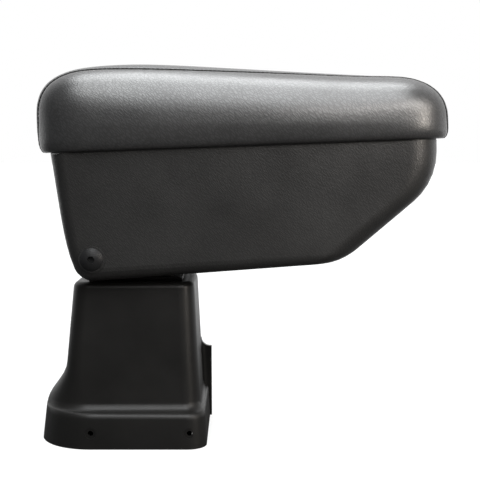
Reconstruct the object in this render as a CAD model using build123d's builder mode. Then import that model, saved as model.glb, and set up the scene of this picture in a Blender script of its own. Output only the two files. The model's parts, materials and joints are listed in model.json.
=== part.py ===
from build123d import *
import os
from math import atan2, cos, hypot, radians, sin, tan

# Car centre armrest: a hollow pedestal that fits over a car's console, a steel
# bracket on top of it, a storage box that swings up on that bracket, and a padded
# lid hinged at the rear of the box.
# X points to the front of the car, Y to its left and Z up. The origin is the centre
# of the pedestal's bottom rim. Lengths are millimetres, angles degrees.

# Pedestal: skirt, ledge, column, rear ramp and a wing forward from its left side
base_length = 127.4
base_width = 110.0
skirt_draft = 2.4
skirt_rear_roundness = 0.767
skirt_front_radius = 14.0
ledge_height = 26.5
ledge_edge_radius = 4.3
ledge_fillet_radius = 6.3
rear_slope = 0.117
ramp_top_height = 60.7
column_height = 122.0
column_rear_top = -36.3
column_rear_slope = 0.093
column_front_top = 54.2
column_front_slope = 0.047
column_half_width_top = 39.0
column_side_slope = 0.058
column_corner_radius = 12.6
column_shoulder_radius = 4.3
wing_height = 59.0
wing_thickness = 4.5
wing_reach = 8.0
wing_side_inset = 0.4
wing_top_fillet = 7.0
wing_root_fillet = 3.5
wing_edge_radius = 0.8
pedestal_wall = 3.5
screw_hole_spacing = 73.0
screw_hole_centre_x = 14.85
screw_hole_height = 11.8
screw_hole_radius = 2.1
screw_dimple_radius = 4.0
screw_dimple_depth = 0.8

# Tilt bracket of folded sheet steel, its fasteners and the rubber rest pad
pivot_x = -18.8
pivot_height = 19.2
bracket_sheet = 3.0
bracket_width = 60.0
bracket_bend_radius = 2.0
bracket_rear_reach = 6.0
bracket_front_reach = 64.0
ear_radius = 13.0
ear_foot_reach = 26.0
bracket_bolt_rear_reach = 16.0
bracket_bolt_front_reach = 53.0
bracket_bolt_y = 18.0
backing_plate_thickness = 3.0
backing_plate_margin = 7.5
m6_radius = 3.0
m6_clearance_radius = 3.3
m6_head_radius = 6.0
m6_head_height = 2.2
m6_socket_across_flats = 4.0
m6_nut_across_flats = 10.0
m6_nut_height = 5.0
rest_pad_reach = 41.0
rest_pad_length = 44.0
rest_pad_width = 9.0

# Pivot: tube, bushes, spacers, wall plates and domed socket head bolts
tube_radius = 6.0
running_clearance = 0.05
bush_wall = 2.0
bush_flange_radius = 11.0
bush_flange_thickness = 1.5
spacer_wall = 3.0
pivot_plate_radius = 11.0
pivot_plate_thickness = 3.0
pivot_boss_radius = 9.6
pivot_boss_height = 1.0
pivot_head_radius = 8.3
pivot_head_height = 4.2
pivot_head_rim = 1.2
pivot_socket_across_flats = 5.0
pivot_socket_depth = 2.8
pivot_thread_length = 14.0

# Storage box, in its own frame: u runs forward along the rim from the rear edge,
# w up from the rim. The frame leans back by rim_tilt and hangs on the pivot.
rim_tilt = 2.13
box_length = 282.0
box_width = 116.0
box_bottom_taper = 7.0
box_depth_rear = 96.0
box_depth_front = 89.6
box_wall = 3.0
box_rear_draft = 5.9
box_rear_tuck = 7.5
box_rear_tuck_power = 6
box_front_straight = 10.7
box_nose_radius = 46.5
box_chamfer_angle = 38.5
box_rear_corner_top = 12.0
box_rear_corner_bottom = 9.5
box_front_corner_top = 23.5
box_front_corner_bottom = 25.0
box_edge_radius = 8.8
pivot_u = 27.2
pivot_depth = 79.0
mouth_side_clearance = 3.0
mouth_top_clearance = 4.0
mouth_front_clearance = 6.8

# Storage tray hung in the box by its flange
tray_flange = 2.0
tray_flange_inset = 0.3
tray_wall = 2.0
tray_floor_clearance = 1.6
tray_rear = 17.0
tray_front_margin = 23.6
tray_floor_rear = 24.0
tray_floor_front_clearance = 6.2
tray_side_margin = 7.0
tray_rear_radius = 12.0
tray_front_radius = 26.0
tray_floor_radius = 16.0
tray_shelf_clearance = 1.0
tray_shelf_reach = 8.8

# Lid: leatherette cover, foam and rigid pan
lid_gap = 2.4
lid_hem_drop = 1.3
lid_hem_rear = -9.2
lid_hem_front_overhang = 10.1
lid_hem_side_overhang = 4.0
lid_hem_rear_radius = 28.2
lid_hem_front_radius = 34.1
lid_bulge_rear = -11.8
lid_bulge_front_overhang = 10.6
lid_bulge_side_overhang = 8.0
lid_bulge_rear_height = 20.1
lid_bulge_front_height = 10.0
lid_bulge_rear_radius = 34.2
lid_bulge_front_radius = 38.1
lid_crown_rear = 66.6
lid_crown_front_inset = 59.5
lid_crown_rear_height = 64.0
lid_crown_front_height = 48.8
lid_rear_fullness = 2.95
lid_front_fullness = 2.6
lid_side_fullness = 2.7
lid_cover_thickness = 1.5
lid_rim_clearance = 0.8
lid_recess_rear = -5.3
lid_recess_rear_radius = 18.0
pan_thickness = 3.0
pan_rib_height = 9.0
pan_rib_thickness = 2.5
pan_rib_inset = 14.0

# Lid hinge, magnet catch and buffers
hinge_axis_u = -2.6
hinge_length = 80.0
hinge_leaf = 1.0
hinge_leaf_reach = 14.0
hinge_knuckle_radius = 1.8
hinge_knuckle_count = 5
hinge_knuckle_gap = 0.4
hinge_pin_radius = 1.0
hinge_screw_count = 3
hinge_screw_spacing = 28.0
hinge_screw_u = 6.5
hinge_screw_radius = 1.5
hinge_screw_head_radius = 2.3
hinge_screw_length = 3.6
magnet_radius = 6.0
magnet_cap_radius = 7.5
magnet_cap_height = 1.1
magnet_depth = 4.0
striker_length = 26.0
striker_width = 16.0
striker_thickness = 1.0
striker_rivet_spacing = 18.0
lid_buffer_front_inset = 21.1
lid_buffer_side_inset = 14.0
lid_buffer_radius = 4.0
contact_gap = 0.3

# Sizes and frames that follow from those above
pivot_z = column_height + pivot_height
bracket_rear = pivot_x - bracket_rear_reach
bracket_front = pivot_x + bracket_front_reach
ear_foot_front = pivot_x + ear_foot_reach
rest_pad_x = pivot_x + rest_pad_reach
box_bottom_width = box_width - box_bottom_taper
mouth_top_depth = pivot_depth - ear_radius - mouth_top_clearance
mouth_front_u = pivot_u + ear_foot_reach + mouth_front_clearance
tray_depth = box_depth_front - box_wall - tray_floor_clearance
tray_front = box_length - tray_front_margin
tray_half_width = box_width / 2 - tray_side_margin
tray_floor_half_width = box_bottom_width / 2 - tray_side_margin
tray_shelf_depth = mouth_top_depth - tray_shelf_clearance
tray_shelf_front = pivot_u + ear_radius + tray_shelf_reach
lid_hem_front = box_length + lid_hem_front_overhang
lid_hem_half_width = box_width / 2 + lid_hem_side_overhang
lid_bulge_front = box_length + lid_bulge_front_overhang
lid_bulge_half_width = box_width / 2 + lid_bulge_side_overhang
lid_crown_front = box_length - lid_crown_front_inset
magnet_u = box_length - tray_front_margin / 2
lid_buffer_u = box_length - lid_buffer_front_inset
lid_buffer_y = box_width / 2 - lid_buffer_side_inset
web_top = column_height + bracket_sheet
plate_top = column_height - pedestal_wall
nut_top = plate_top - backing_plate_thickness
ear_outer = bracket_width / 2
ear_inner = ear_outer - bracket_sheet
bracket_bolt_rear_x = pivot_x + bracket_bolt_rear_reach
bracket_bolt_front_x = pivot_x + bracket_bolt_front_reach
bolt_places = [
    (x, y) for x in (bracket_bolt_rear_x, bracket_bolt_front_x) for y in (-bracket_bolt_y, bracket_bolt_y)
]
pivot_half_width = (box_width + (box_bottom_width - box_width) * pivot_depth / box_depth_rear) / 2
pivot_boss_face = pivot_half_width + pivot_boss_height
tube_end = pivot_half_width - box_wall - pivot_plate_thickness
knuckle_length = hinge_length / hinge_knuckle_count
hinge_axis_w = lid_gap / 2
leaf_rear = hinge_axis_u + hinge_knuckle_radius + hinge_knuckle_gap
rim_cos = cos(radians(rim_tilt))
rim_sin = sin(radians(rim_tilt))
rim_origin = (
    pivot_x - pivot_u * rim_cos - pivot_depth * rim_sin,
    0,
    pivot_z - pivot_u * rim_sin + pivot_depth * rim_cos,
)
rim_plane = Plane(rim_origin, x_dir=(rim_cos, 0, rim_sin), z_dir=(-rim_sin, 0, rim_cos))
side_plane = Plane(rim_origin, x_dir=(rim_cos, 0, rim_sin), z_dir=(0, -1, 0))
pivot_plane = Plane((pivot_x, 0, pivot_z), x_dir=(1, 0, 0), z_dir=(0, -1, 0))
far = 2 * box_length

# Steps round a quarter turn, and along an eased slope
quarter_steps = (0, 18, 36, 54, 72, 90)
slope_steps = (0, 0.15, 0.3, 0.45, 0.6, 0.75, 0.9, 1)


def rounded_plan(plane, rear, front, half_width, rear_radius, front_radius):
    """Rectangle from rear to front along the plane's x, with rounded corners."""
    with BuildSketch(plane) as outline:
        with Locations(((rear + front) / 2, 0)):
            Rectangle(front - rear, 2 * half_width)
        fillet(outline.vertices().group_by(Axis.X)[0], rear_radius)
        fillet(outline.vertices().group_by(Axis.X)[-1], front_radius)
    return outline.sketch


def section_plane(rear, front):
    """Plane across the box or lid through a rear and a front point (u, w)."""
    lean = atan2(front[1] - rear[1], front[0] - rear[0]) + radians(rim_tilt)
    origin = rim_plane.from_local_coords((rear[0], 0, rear[1]))
    return Plane(origin, x_dir=(cos(lean), 0, sin(lean)), z_dir=(-sin(lean), 0, cos(lean)))


def section_plan(rear, front, half_width, rear_radius, front_radius):
    """Rounded plan outline between a rear and a front point (u, w)."""
    length = hypot(front[0] - rear[0], front[1] - rear[1])
    return rounded_plan(section_plane(rear, front), 0, length, half_width, rear_radius, front_radius)


def between(low, high, share):
    return low + share * (high - low)


def round_over(rise, radius):
    """Inset of a quarter round of this radius at a height above its start."""
    share = min(max(rise / radius, 0), 1)
    return radius * (1 - (1 - share * share) ** 0.5)


# Pedestal cover: one thermoformed shell, open underneath. Its plan outlines shrink from
# the skirt over a rounded ledge to the column; at the rear a ramp replaces the ledge.
def ledge_share(height):
    """Share of the way from skirt to column: a convex, then a concave quarter round."""
    width = ledge_edge_radius + ledge_fillet_radius
    if height < ledge_height:
        return round_over(height - ledge_height + ledge_edge_radius, ledge_edge_radius) / width
    return 1 - round_over(ledge_height + ledge_fillet_radius - height, ledge_fillet_radius) / width


def column_front(height):
    return column_front_top + (column_height - height) * column_front_slope


def column_half_width(height):
    return column_half_width_top + (column_height - height) * column_side_slope


def pedestal_plan(height, wall):
    drop = column_height - height
    share = ledge_share(height)
    slope = min(max((height - ledge_height) / (ramp_top_height - ledge_height), 0), 1)
    ramp = slope * slope * (3 - 2 * slope)
    draft = height * tan(radians(skirt_draft))
    shoulder = round_over(column_shoulder_radius - drop, column_shoulder_radius)
    inset = wall + shoulder
    half_width = between(base_width / 2 - draft, column_half_width(height), share)
    front = between(base_length / 2 - draft, column_front(height), share)
    rear = between(height * rear_slope - base_length / 2, column_rear_top - drop * column_rear_slope, ramp)
    return rounded_plan(
        Plane.XY.offset(height - wall),
        rear + inset,
        front - inset,
        half_width - inset,
        between(skirt_rear_roundness * half_width, column_corner_radius, ramp) - inset,
        between(skirt_front_radius, column_corner_radius, share) - inset,
    )


def pedestal_plans(wall):
    shoulder_low = column_height - column_shoulder_radius
    heights = [wall]
    heights += [ledge_height - ledge_edge_radius * (1 - sin(radians(a))) for a in quarter_steps]
    heights += [ledge_height + ledge_fillet_radius * (1 - cos(radians(a))) for a in quarter_steps[1:]]
    heights += [between(ledge_height, ramp_top_height, s) for s in slope_steps[1:]]
    heights += [shoulder_low + column_shoulder_radius * sin(radians(a)) for a in quarter_steps]
    return [pedestal_plan(height, wall) for height in sorted(heights)]


def wing_plan(height):
    """Plan of the wing: a wall along the left side, filleted to the column's front."""
    face = column_front(height)
    inside = face - column_corner_radius
    wing_front = column_front(wing_height) + wing_reach
    outer_y = column_half_width(height) - wing_side_inset
    inner_y = outer_y - wing_thickness
    with BuildSketch(Plane.XY.offset(height)) as plan:
        with BuildLine():
            wall = Polyline(
                (face + wing_root_fillet, inner_y),
                (wing_front, inner_y),
                (wing_front, outer_y),
                (inside, outer_y),
                (inside, inner_y - wing_root_fillet),
                (face, inner_y - wing_root_fillet),
            )
            RadiusArc(wall @ 1, wall @ 0, wing_root_fillet)
        make_face()
        fillet(plan.vertices().group_by(Axis.X)[-1], wing_edge_radius)
    return plan.sketch


with BuildPart() as front_wing:
    wing_top = wing_height + wing_top_fillet
    loft([wing_plan(0), wing_plan(wing_top)], ruled=True)
    # Top edge, which sweeps up to the column in a hollow curve
    with BuildSketch(Plane.XZ):
        with BuildLine():
            edge = Polyline(
                (column_front(wing_top) + wing_top_fillet, wing_height),
                (base_length, wing_height),
                (base_length, wing_top),
                (column_front(wing_top), wing_top),
            )
            RadiusArc(edge @ 1, edge @ 0, -wing_top_fillet)
        make_face()
    extrude(amount=base_width, both=True, mode=Mode.SUBTRACT)

with BuildPart() as pedestal_cover:
    loft(pedestal_plans(0), ruled=True)
    add(front_wing.part)
    loft(pedestal_plans(pedestal_wall), ruled=True, mode=Mode.SUBTRACT)
    # Screw holes through both sides of the skirt, each in a shallow flat dimple
    dimple_y = base_width / 2 - screw_hole_height * tan(radians(skirt_draft)) - screw_dimple_depth
    dimple_plane = Plane(
        (screw_hole_centre_x, -dimple_y, screw_hole_height), x_dir=(1, 0, 0), z_dir=(0, -1, 0)
    )
    for plane in (dimple_plane, dimple_plane.offset(-2 * dimple_y)):
        with BuildSketch(plane):
            with GridLocations(screw_hole_spacing, 1, 2, 1):
                Circle(screw_hole_radius)
        extrude(amount=3 * pedestal_wall, both=True, mode=Mode.SUBTRACT)
    with BuildSketch(dimple_plane):
        with GridLocations(screw_hole_spacing, 1, 2, 1):
            Circle(screw_dimple_radius)
    extrude(amount=pedestal_wall, mode=Mode.SUBTRACT)
    with BuildSketch(dimple_plane.offset(-2 * dimple_y)):
        with GridLocations(screw_hole_spacing, 1, 2, 1):
            Circle(screw_dimple_radius)
    extrude(amount=-pedestal_wall, mode=Mode.SUBTRACT)
    # Holes in the top for the bracket bolts
    with BuildSketch(Plane.XY.offset(column_height)):
        with Locations(bolt_places):
            Circle(m6_clearance_radius)
    extrude(amount=-2 * pedestal_wall, mode=Mode.SUBTRACT)


# Tilt bracket: a folded U, its ears cut to a rounded outline about the pivot
with BuildPart() as tilt_bracket:
    with BuildSketch(Plane.YZ.offset(bracket_rear - ear_radius)) as channel:
        with Locations((0, column_height)):
            Rectangle(bracket_width, pivot_z, align=(Align.CENTER, Align.MIN))
        fillet(channel.vertices().group_by(Axis.Y)[0], bracket_bend_radius + bracket_sheet)
        with BuildSketch(mode=Mode.SUBTRACT) as inside:
            with Locations((0, web_top)):
                Rectangle(2 * ear_inner, pivot_z, align=(Align.CENTER, Align.MIN))
            fillet(inside.vertices().group_by(Axis.Y)[0], bracket_bend_radius)
    extrude(amount=bracket_front - bracket_rear + 2 * ear_radius)
    with BuildSketch(Plane.XZ):
        with BuildLine():
            Line((bracket_rear, column_height), (ear_foot_front, column_height))
            CenterArc((pivot_x, pivot_z), ear_radius, 0, 360)
        make_hull()
        with Locations((bracket_rear, column_height)):
            Rectangle(bracket_front - bracket_rear, bracket_sheet, align=(Align.MIN, Align.MIN))
    extrude(amount=bracket_width, both=True, mode=Mode.INTERSECT)
    with BuildSketch(pivot_plane):
        Circle(tube_radius + bush_wall)
    extrude(amount=bracket_width, both=True, mode=Mode.SUBTRACT)
    with BuildSketch(Plane.XY.offset(column_height)):
        with Locations(bolt_places):
            Circle(m6_clearance_radius)
    extrude(amount=bracket_sheet, mode=Mode.SUBTRACT)

with BuildPart() as backing_plate:
    with BuildSketch(Plane.XY.offset(plate_top)):
        with Locations(((bracket_bolt_rear_x + bracket_bolt_front_x) / 2, 0)):
            RectangleRounded(
                bracket_bolt_front_x - bracket_bolt_rear_x + 2 * backing_plate_margin,
                2 * (bracket_bolt_y + backing_plate_margin),
                backing_plate_margin / 2,
            )
        with Locations(bolt_places):
            Circle(m6_clearance_radius, mode=Mode.SUBTRACT)
    extrude(amount=-backing_plate_thickness)

with BuildPart() as bracket_bolts:
    with BuildSketch(Plane.XY.offset(web_top)):
        with Locations(bolt_places):
            Circle(m6_head_radius)
    extrude(amount=m6_head_height)
    fillet(bracket_bolts.edges().group_by(Axis.Z)[-1], 0.7 * m6_head_height)
    with BuildSketch(Plane.XY.offset(web_top + m6_head_height)):
        with Locations(bolt_places):
            RegularPolygon(m6_socket_across_flats / 2, 6, major_radius=False)
    extrude(amount=-0.6 * m6_head_height, mode=Mode.SUBTRACT)
    with BuildSketch(Plane.XY.offset(web_top)):
        with Locations(bolt_places):
            Circle(m6_radius)
    extrude(amount=nut_top - m6_nut_height - 1 - web_top)

with BuildPart() as bracket_nuts:
    with BuildSketch(Plane.XY.offset(nut_top)):
        with Locations(bolt_places):
            RegularPolygon(m6_nut_across_flats / 2, 6, major_radius=False)
        with Locations(bolt_places):
            Circle(m6_radius, mode=Mode.SUBTRACT)
    extrude(amount=-m6_nut_height)


# Storage box. Its front drops straight, rounds over a nose and slopes back to the floor;
# its rear wall leans in and tucks under. The floor's edges are rounded.
def front_u(depth, wall):
    turn = radians(90 - box_chamfer_angle)
    radius = box_nose_radius - wall
    centre = box_length - box_nose_radius
    below = depth - box_front_straight
    if below <= 0:
        return centre + radius
    if below < radius * sin(turn):
        return centre + (radius * radius - below * below) ** 0.5
    return centre + radius * cos(turn) - (below - radius * sin(turn)) / tan(radians(box_chamfer_angle))


def rear_u(depth, wall):
    tuck = box_rear_tuck * (depth / box_depth_rear) ** box_rear_tuck_power
    return depth * tan(radians(box_rear_draft)) + tuck + wall


def box_ends(depth, wall):
    """Rear and front points (u, w) of the section that lies this deep at the front."""
    rear_depth = depth * (box_depth_rear - wall) / (box_depth_front - wall)
    edge = round_over(depth - box_depth_front + wall + box_edge_radius, box_edge_radius)
    rear = (rear_u(rear_depth, wall) + edge, -rear_depth)
    front = (front_u(depth, wall) - edge, -depth)
    return rear, front, edge


def box_plan(depth, wall):
    share = depth / box_depth_front
    rear, front, edge = box_ends(depth, wall)
    inset = wall + edge
    return section_plan(
        rear,
        front,
        between(box_width, box_bottom_width, share) / 2 - inset,
        max(between(box_rear_corner_top, box_rear_corner_bottom, share) - inset, 0.8),
        between(box_front_corner_top, box_front_corner_bottom, share) - inset,
    )


def box_plans(wall, top):
    turn = 90 - box_chamfer_angle
    nose = box_nose_radius - wall
    nose_end = box_front_straight + nose * sin(radians(turn))
    round_top = box_depth_front - wall - box_edge_radius
    depths = [top]
    depths += [box_front_straight + nose * sin(radians(turn * a / 90)) for a in quarter_steps]
    depths += [between(nose_end, round_top, s) for s in (0.25, 0.5, 0.75)]
    depths += [round_top + box_edge_radius * sin(radians(a)) for a in quarter_steps]
    return [box_plan(depth, wall) for depth in depths]


floor_rear, floor_front, floor_edge = box_ends(box_depth_front, 0)
floor_plane = section_plane(floor_rear, floor_front)

with BuildPart() as box_cavity:
    loft(box_plans(box_wall, 0), ruled=True)

with BuildPart() as box_shell:
    loft(box_plans(0, tray_flange), ruled=True)
    # Flat round bosses under the heads of the pivot bolts
    with BuildSketch(pivot_plane):
        Circle(pivot_boss_radius)
    extrude(amount=pivot_boss_face, both=True)
    add(box_cavity.part, mode=Mode.SUBTRACT)
    # Mouth in the floor and rear wall, which the bracket's ears swing through
    with BuildSketch(side_plane):
        with Locations((mouth_front_u, -mouth_top_depth)):
            Rectangle(far, far, align=(Align.MAX, Align.MAX))
    extrude(amount=ear_outer + mouth_side_clearance, both=True, mode=Mode.SUBTRACT)
    with BuildSketch(pivot_plane):
        Circle(m6_clearance_radius)
    extrude(amount=far, both=True, mode=Mode.SUBTRACT)

with BuildPart() as rest_pad:
    with BuildSketch(Plane.XY.offset(web_top)):
        with Locations((rest_pad_x, 0)):
            RectangleRounded(rest_pad_width, rest_pad_length, rest_pad_width / 3)
    extrude(amount=box_depth_rear)
    split(bisect_by=floor_plane.offset(-contact_gap), keep=Keep.BOTTOM)


# Parts of the pivot, right side first, then mirrored to the left
with BuildPart() as pivot_bush_right:
    with BuildSketch(pivot_plane.offset(ear_inner)):
        Circle(tube_radius + bush_wall)
    extrude(amount=bracket_sheet)
    with BuildSketch(pivot_plane.offset(ear_outer)):
        Circle(bush_flange_radius)
    extrude(amount=bush_flange_thickness)
    with BuildSketch(pivot_plane):
        Circle(tube_radius + running_clearance)
    extrude(amount=bracket_width, mode=Mode.SUBTRACT)

with BuildPart() as pivot_bush_left:
    mirror(pivot_bush_right.part, about=Plane.XZ)

with BuildPart() as pivot_tube:
    with BuildSketch(pivot_plane):
        Circle(tube_radius)
        Circle(m6_radius + running_clearance, mode=Mode.SUBTRACT)
    extrude(amount=tube_end, both=True)

with BuildPart() as pivot_spacer_right:
    spacer_start = ear_outer + bush_flange_thickness + contact_gap
    with BuildSketch(pivot_plane.offset(spacer_start)):
        Circle(tube_radius + spacer_wall)
        Circle(tube_radius + running_clearance, mode=Mode.SUBTRACT)
    extrude(amount=tube_end - spacer_start)

with BuildPart() as pivot_spacer_left:
    mirror(pivot_spacer_right.part, about=Plane.XZ)

with BuildPart() as pivot_plate_right:
    with BuildSketch(pivot_plane.offset(tube_end)):
        Circle(pivot_plate_radius)
    extrude(amount=box_width)
    add(box_cavity.part, mode=Mode.INTERSECT)
    with BuildSketch(pivot_plane):
        Circle(m6_clearance_radius)
    extrude(amount=box_width, mode=Mode.SUBTRACT)

with BuildPart() as pivot_plate_left:
    mirror(pivot_plate_right.part, about=Plane.XZ)

with BuildPart() as pivot_bolt_right:
    head_top = pivot_boss_face + pivot_head_height
    with BuildSketch(Plane((pivot_x, 0, pivot_z))):
        with BuildLine():
            head = Polyline(
                (0, -head_top),
                (0, -pivot_boss_face),
                (pivot_head_radius, -pivot_boss_face),
                (pivot_head_radius, -pivot_boss_face - pivot_head_rim),
            )
            TangentArc(head @ 0, head @ 1, tangent=(1, 0))
        make_face()
    revolve(axis=Axis((pivot_x, 0, pivot_z), (0, 1, 0)))
    with BuildSketch(pivot_plane.offset(head_top)):
        RegularPolygon(pivot_socket_across_flats / 2, 6, major_radius=False)
    extrude(amount=-pivot_socket_depth, mode=Mode.SUBTRACT)
    with BuildSketch(pivot_plane.offset(tube_end - pivot_thread_length)):
        Circle(m6_radius)
    extrude(amount=pivot_boss_face - tube_end + pivot_thread_length)

with BuildPart() as pivot_bolt_left:
    mirror(pivot_bolt_right.part, about=Plane.XZ)


# Lid hinge: the lower leaf lies on the tray's flange, the upper leaf under the lid's pan.
# Countersunk screws hold both.
def knuckle_places(first):
    return [
        -hinge_length / 2 + k * knuckle_length + hinge_knuckle_gap / 2
        for k in range(first, hinge_knuckle_count, 2)
    ]


with BuildPart() as hinge_lower_screws:
    with BuildSketch(rim_plane.offset(hinge_leaf)):
        with Locations((hinge_screw_u, 0)):
            with GridLocations(1, hinge_screw_spacing, 1, hinge_screw_count):
                Circle(hinge_screw_head_radius)
    extrude(amount=hinge_screw_radius - hinge_screw_head_radius, taper=45)
    with BuildSketch(rim_plane.offset(hinge_leaf)):
        with Locations((hinge_screw_u, 0)):
            with GridLocations(1, hinge_screw_spacing, 1, hinge_screw_count):
                Circle(hinge_screw_radius)
    extrude(amount=-hinge_screw_length)

with BuildPart() as hinge_upper_screws:
    with BuildSketch(rim_plane.offset(lid_gap - hinge_leaf)):
        with Locations((hinge_screw_u, 0)):
            with GridLocations(1, hinge_screw_spacing, 1, hinge_screw_count):
                Circle(hinge_screw_head_radius)
    extrude(amount=hinge_screw_head_radius - hinge_screw_radius, taper=45)
    with BuildSketch(rim_plane.offset(lid_gap - hinge_leaf)):
        with Locations((hinge_screw_u, 0)):
            with GridLocations(1, hinge_screw_spacing, 1, hinge_screw_count):
                Circle(hinge_screw_radius)
    extrude(amount=hinge_screw_length)

with BuildPart() as hinge_lower_leaf:
    with BuildSketch(rim_plane):
        with Locations((leaf_rear, 0)):
            Rectangle(hinge_leaf_reach - leaf_rear, hinge_length, align=(Align.MIN, Align.CENTER))
    extrude(amount=hinge_leaf)
    for y in knuckle_places(0):
        with BuildSketch(side_plane.offset(y)):
            with Locations((hinge_axis_u, 0)):
                Rectangle(leaf_rear - hinge_axis_u, hinge_leaf, align=(Align.MIN, Align.MIN))
            with Locations((hinge_axis_u, hinge_axis_w)):
                Circle(hinge_knuckle_radius)
        extrude(amount=knuckle_length - hinge_knuckle_gap)
    with BuildSketch(side_plane):
        with Locations((hinge_axis_u, hinge_axis_w)):
            Circle(hinge_pin_radius + running_clearance)
    extrude(amount=hinge_length, both=True, mode=Mode.SUBTRACT)
    add(hinge_lower_screws.part, mode=Mode.SUBTRACT)

with BuildPart() as hinge_upper_leaf:
    with BuildSketch(rim_plane.offset(lid_gap - hinge_leaf)):
        with Locations((leaf_rear, 0)):
            Rectangle(hinge_leaf_reach - leaf_rear, hinge_length, align=(Align.MIN, Align.CENTER))
    extrude(amount=hinge_leaf)
    for y in knuckle_places(1):
        with BuildSketch(side_plane.offset(y)):
            with Locations((hinge_axis_u, lid_gap)):
                Rectangle(leaf_rear - hinge_axis_u, hinge_leaf, align=(Align.MIN, Align.MAX))
            with Locations((hinge_axis_u, hinge_axis_w)):
                Circle(hinge_knuckle_radius)
        extrude(amount=knuckle_length - hinge_knuckle_gap)
    with BuildSketch(side_plane):
        with Locations((hinge_axis_u, hinge_axis_w)):
            Circle(hinge_pin_radius + running_clearance)
    extrude(amount=hinge_length, both=True, mode=Mode.SUBTRACT)
    add(hinge_upper_screws.part, mode=Mode.SUBTRACT)

with BuildPart() as hinge_pin:
    with BuildSketch(side_plane):
        with Locations((hinge_axis_u, hinge_axis_w)):
            Circle(hinge_pin_radius)
    extrude(amount=hinge_length / 2, both=True)


# Magnet catch at the front of the flange, its striker under the lid, and two lid buffers
with BuildPart() as catch_magnet:
    with BuildSketch(rim_plane.offset(magnet_cap_height)):
        with Locations((magnet_u, 0)):
            Circle(magnet_cap_radius)
    extrude(amount=-magnet_cap_height)
    with BuildSketch(rim_plane):
        with Locations((magnet_u, 0)):
            Circle(magnet_radius)
    extrude(amount=-magnet_depth)

with BuildPart() as striker_rivets:
    with BuildSketch(rim_plane.offset(lid_gap - striker_thickness)):
        with Locations((magnet_u, 0)):
            with GridLocations(1, striker_rivet_spacing, 1, 2):
                Circle(hinge_screw_head_radius)
    extrude(amount=hinge_screw_head_radius - hinge_screw_radius, taper=45)
    with BuildSketch(rim_plane.offset(lid_gap - striker_thickness)):
        with Locations((magnet_u, 0)):
            with GridLocations(1, striker_rivet_spacing, 1, 2):
                Circle(hinge_screw_radius)
    extrude(amount=hinge_screw_length)

with BuildPart() as striker_plate:
    with BuildSketch(rim_plane.offset(lid_gap)):
        with Locations((magnet_u, 0)):
            RectangleRounded(striker_width, striker_length, striker_width / 5)
    extrude(amount=-striker_thickness)
    add(striker_rivets.part, mode=Mode.SUBTRACT)

with BuildPart() as lid_buffer_right:
    with BuildSketch(rim_plane):
        with Locations((lid_buffer_u, -lid_buffer_y)):
            Circle(lid_buffer_radius)
    extrude(amount=lid_gap - contact_gap)

with BuildPart() as lid_buffer_left:
    mirror(lid_buffer_right.part, about=Plane.XZ)


# Storage tray: a flange on the rim and a tub with a raised shelf above the pivot
def tray_plans(wall):
    tray_floor_front = front_u(tray_depth, box_wall) - tray_floor_front_clearance
    top = rounded_plan(
        rim_plane,
        tray_rear + wall,
        tray_front - wall,
        tray_half_width - wall,
        tray_rear_radius - wall,
        tray_front_radius - wall,
    )
    floor = rounded_plan(
        rim_plane.offset(wall - tray_depth),
        tray_floor_rear + wall,
        tray_floor_front - wall,
        tray_floor_half_width - wall,
        tray_floor_radius - wall,
        tray_floor_radius - wall,
    )
    return [top, floor]


with BuildPart() as tray_void:
    loft(tray_plans(tray_wall), ruled=True)
    with BuildSketch(side_plane):
        with Locations((tray_shelf_front + tray_wall, tray_wall - tray_shelf_depth)):
            Rectangle(far, far, align=(Align.MAX, Align.MAX))
    extrude(amount=far, both=True, mode=Mode.SUBTRACT)

with BuildPart() as storage_tray:
    loft(tray_plans(0), ruled=True)
    with BuildSketch(side_plane):
        with Locations((tray_shelf_front, -tray_shelf_depth)):
            Rectangle(far, far, align=(Align.MAX, Align.MAX))
    extrude(amount=far, both=True, mode=Mode.SUBTRACT)
    add(
        rounded_plan(
            rim_plane,
            tray_flange_inset,
            box_length - tray_flange_inset,
            box_width / 2 - tray_flange_inset,
            box_rear_corner_top - tray_flange_inset,
            box_front_corner_top - tray_flange_inset,
        )
    )
    extrude(amount=-tray_flange)
    add(tray_void.part, mode=Mode.SUBTRACT)
    add(catch_magnet.part, mode=Mode.SUBTRACT)
    add(hinge_lower_screws.part, mode=Mode.SUBTRACT)


# Lid. From the hem the outline swells to its fullest, then closes over the crown; both
# arcs are quarter ovals, the upper one of a set fullness at rear, front and sides.
def oval(angle, fullness):
    """Share closed in and share risen along a quarter oval of this fullness."""
    closed = 1 - cos(radians(angle)) ** (2 / fullness)
    risen = sin(radians(angle)) ** (2 / fullness)
    return closed, risen


def lid_hem_plan(angle, wall):
    out = sin(radians(angle))
    up = 1 - cos(radians(angle))
    lift = wall * (1 - out) - lid_hem_drop
    rear = (
        between(lid_hem_rear, lid_bulge_rear, out) + wall,
        lift + up * (lid_bulge_rear_height + lid_hem_drop),
    )
    front = (
        between(lid_hem_front, lid_bulge_front, out) - wall,
        lift + up * (lid_bulge_front_height + lid_hem_drop),
    )
    return section_plan(
        rear,
        front,
        between(lid_hem_half_width, lid_bulge_half_width, out) - wall,
        between(lid_hem_rear_radius, lid_bulge_rear_radius, out) - wall,
        between(lid_hem_front_radius, lid_bulge_front_radius, out) - wall,
    )


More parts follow.
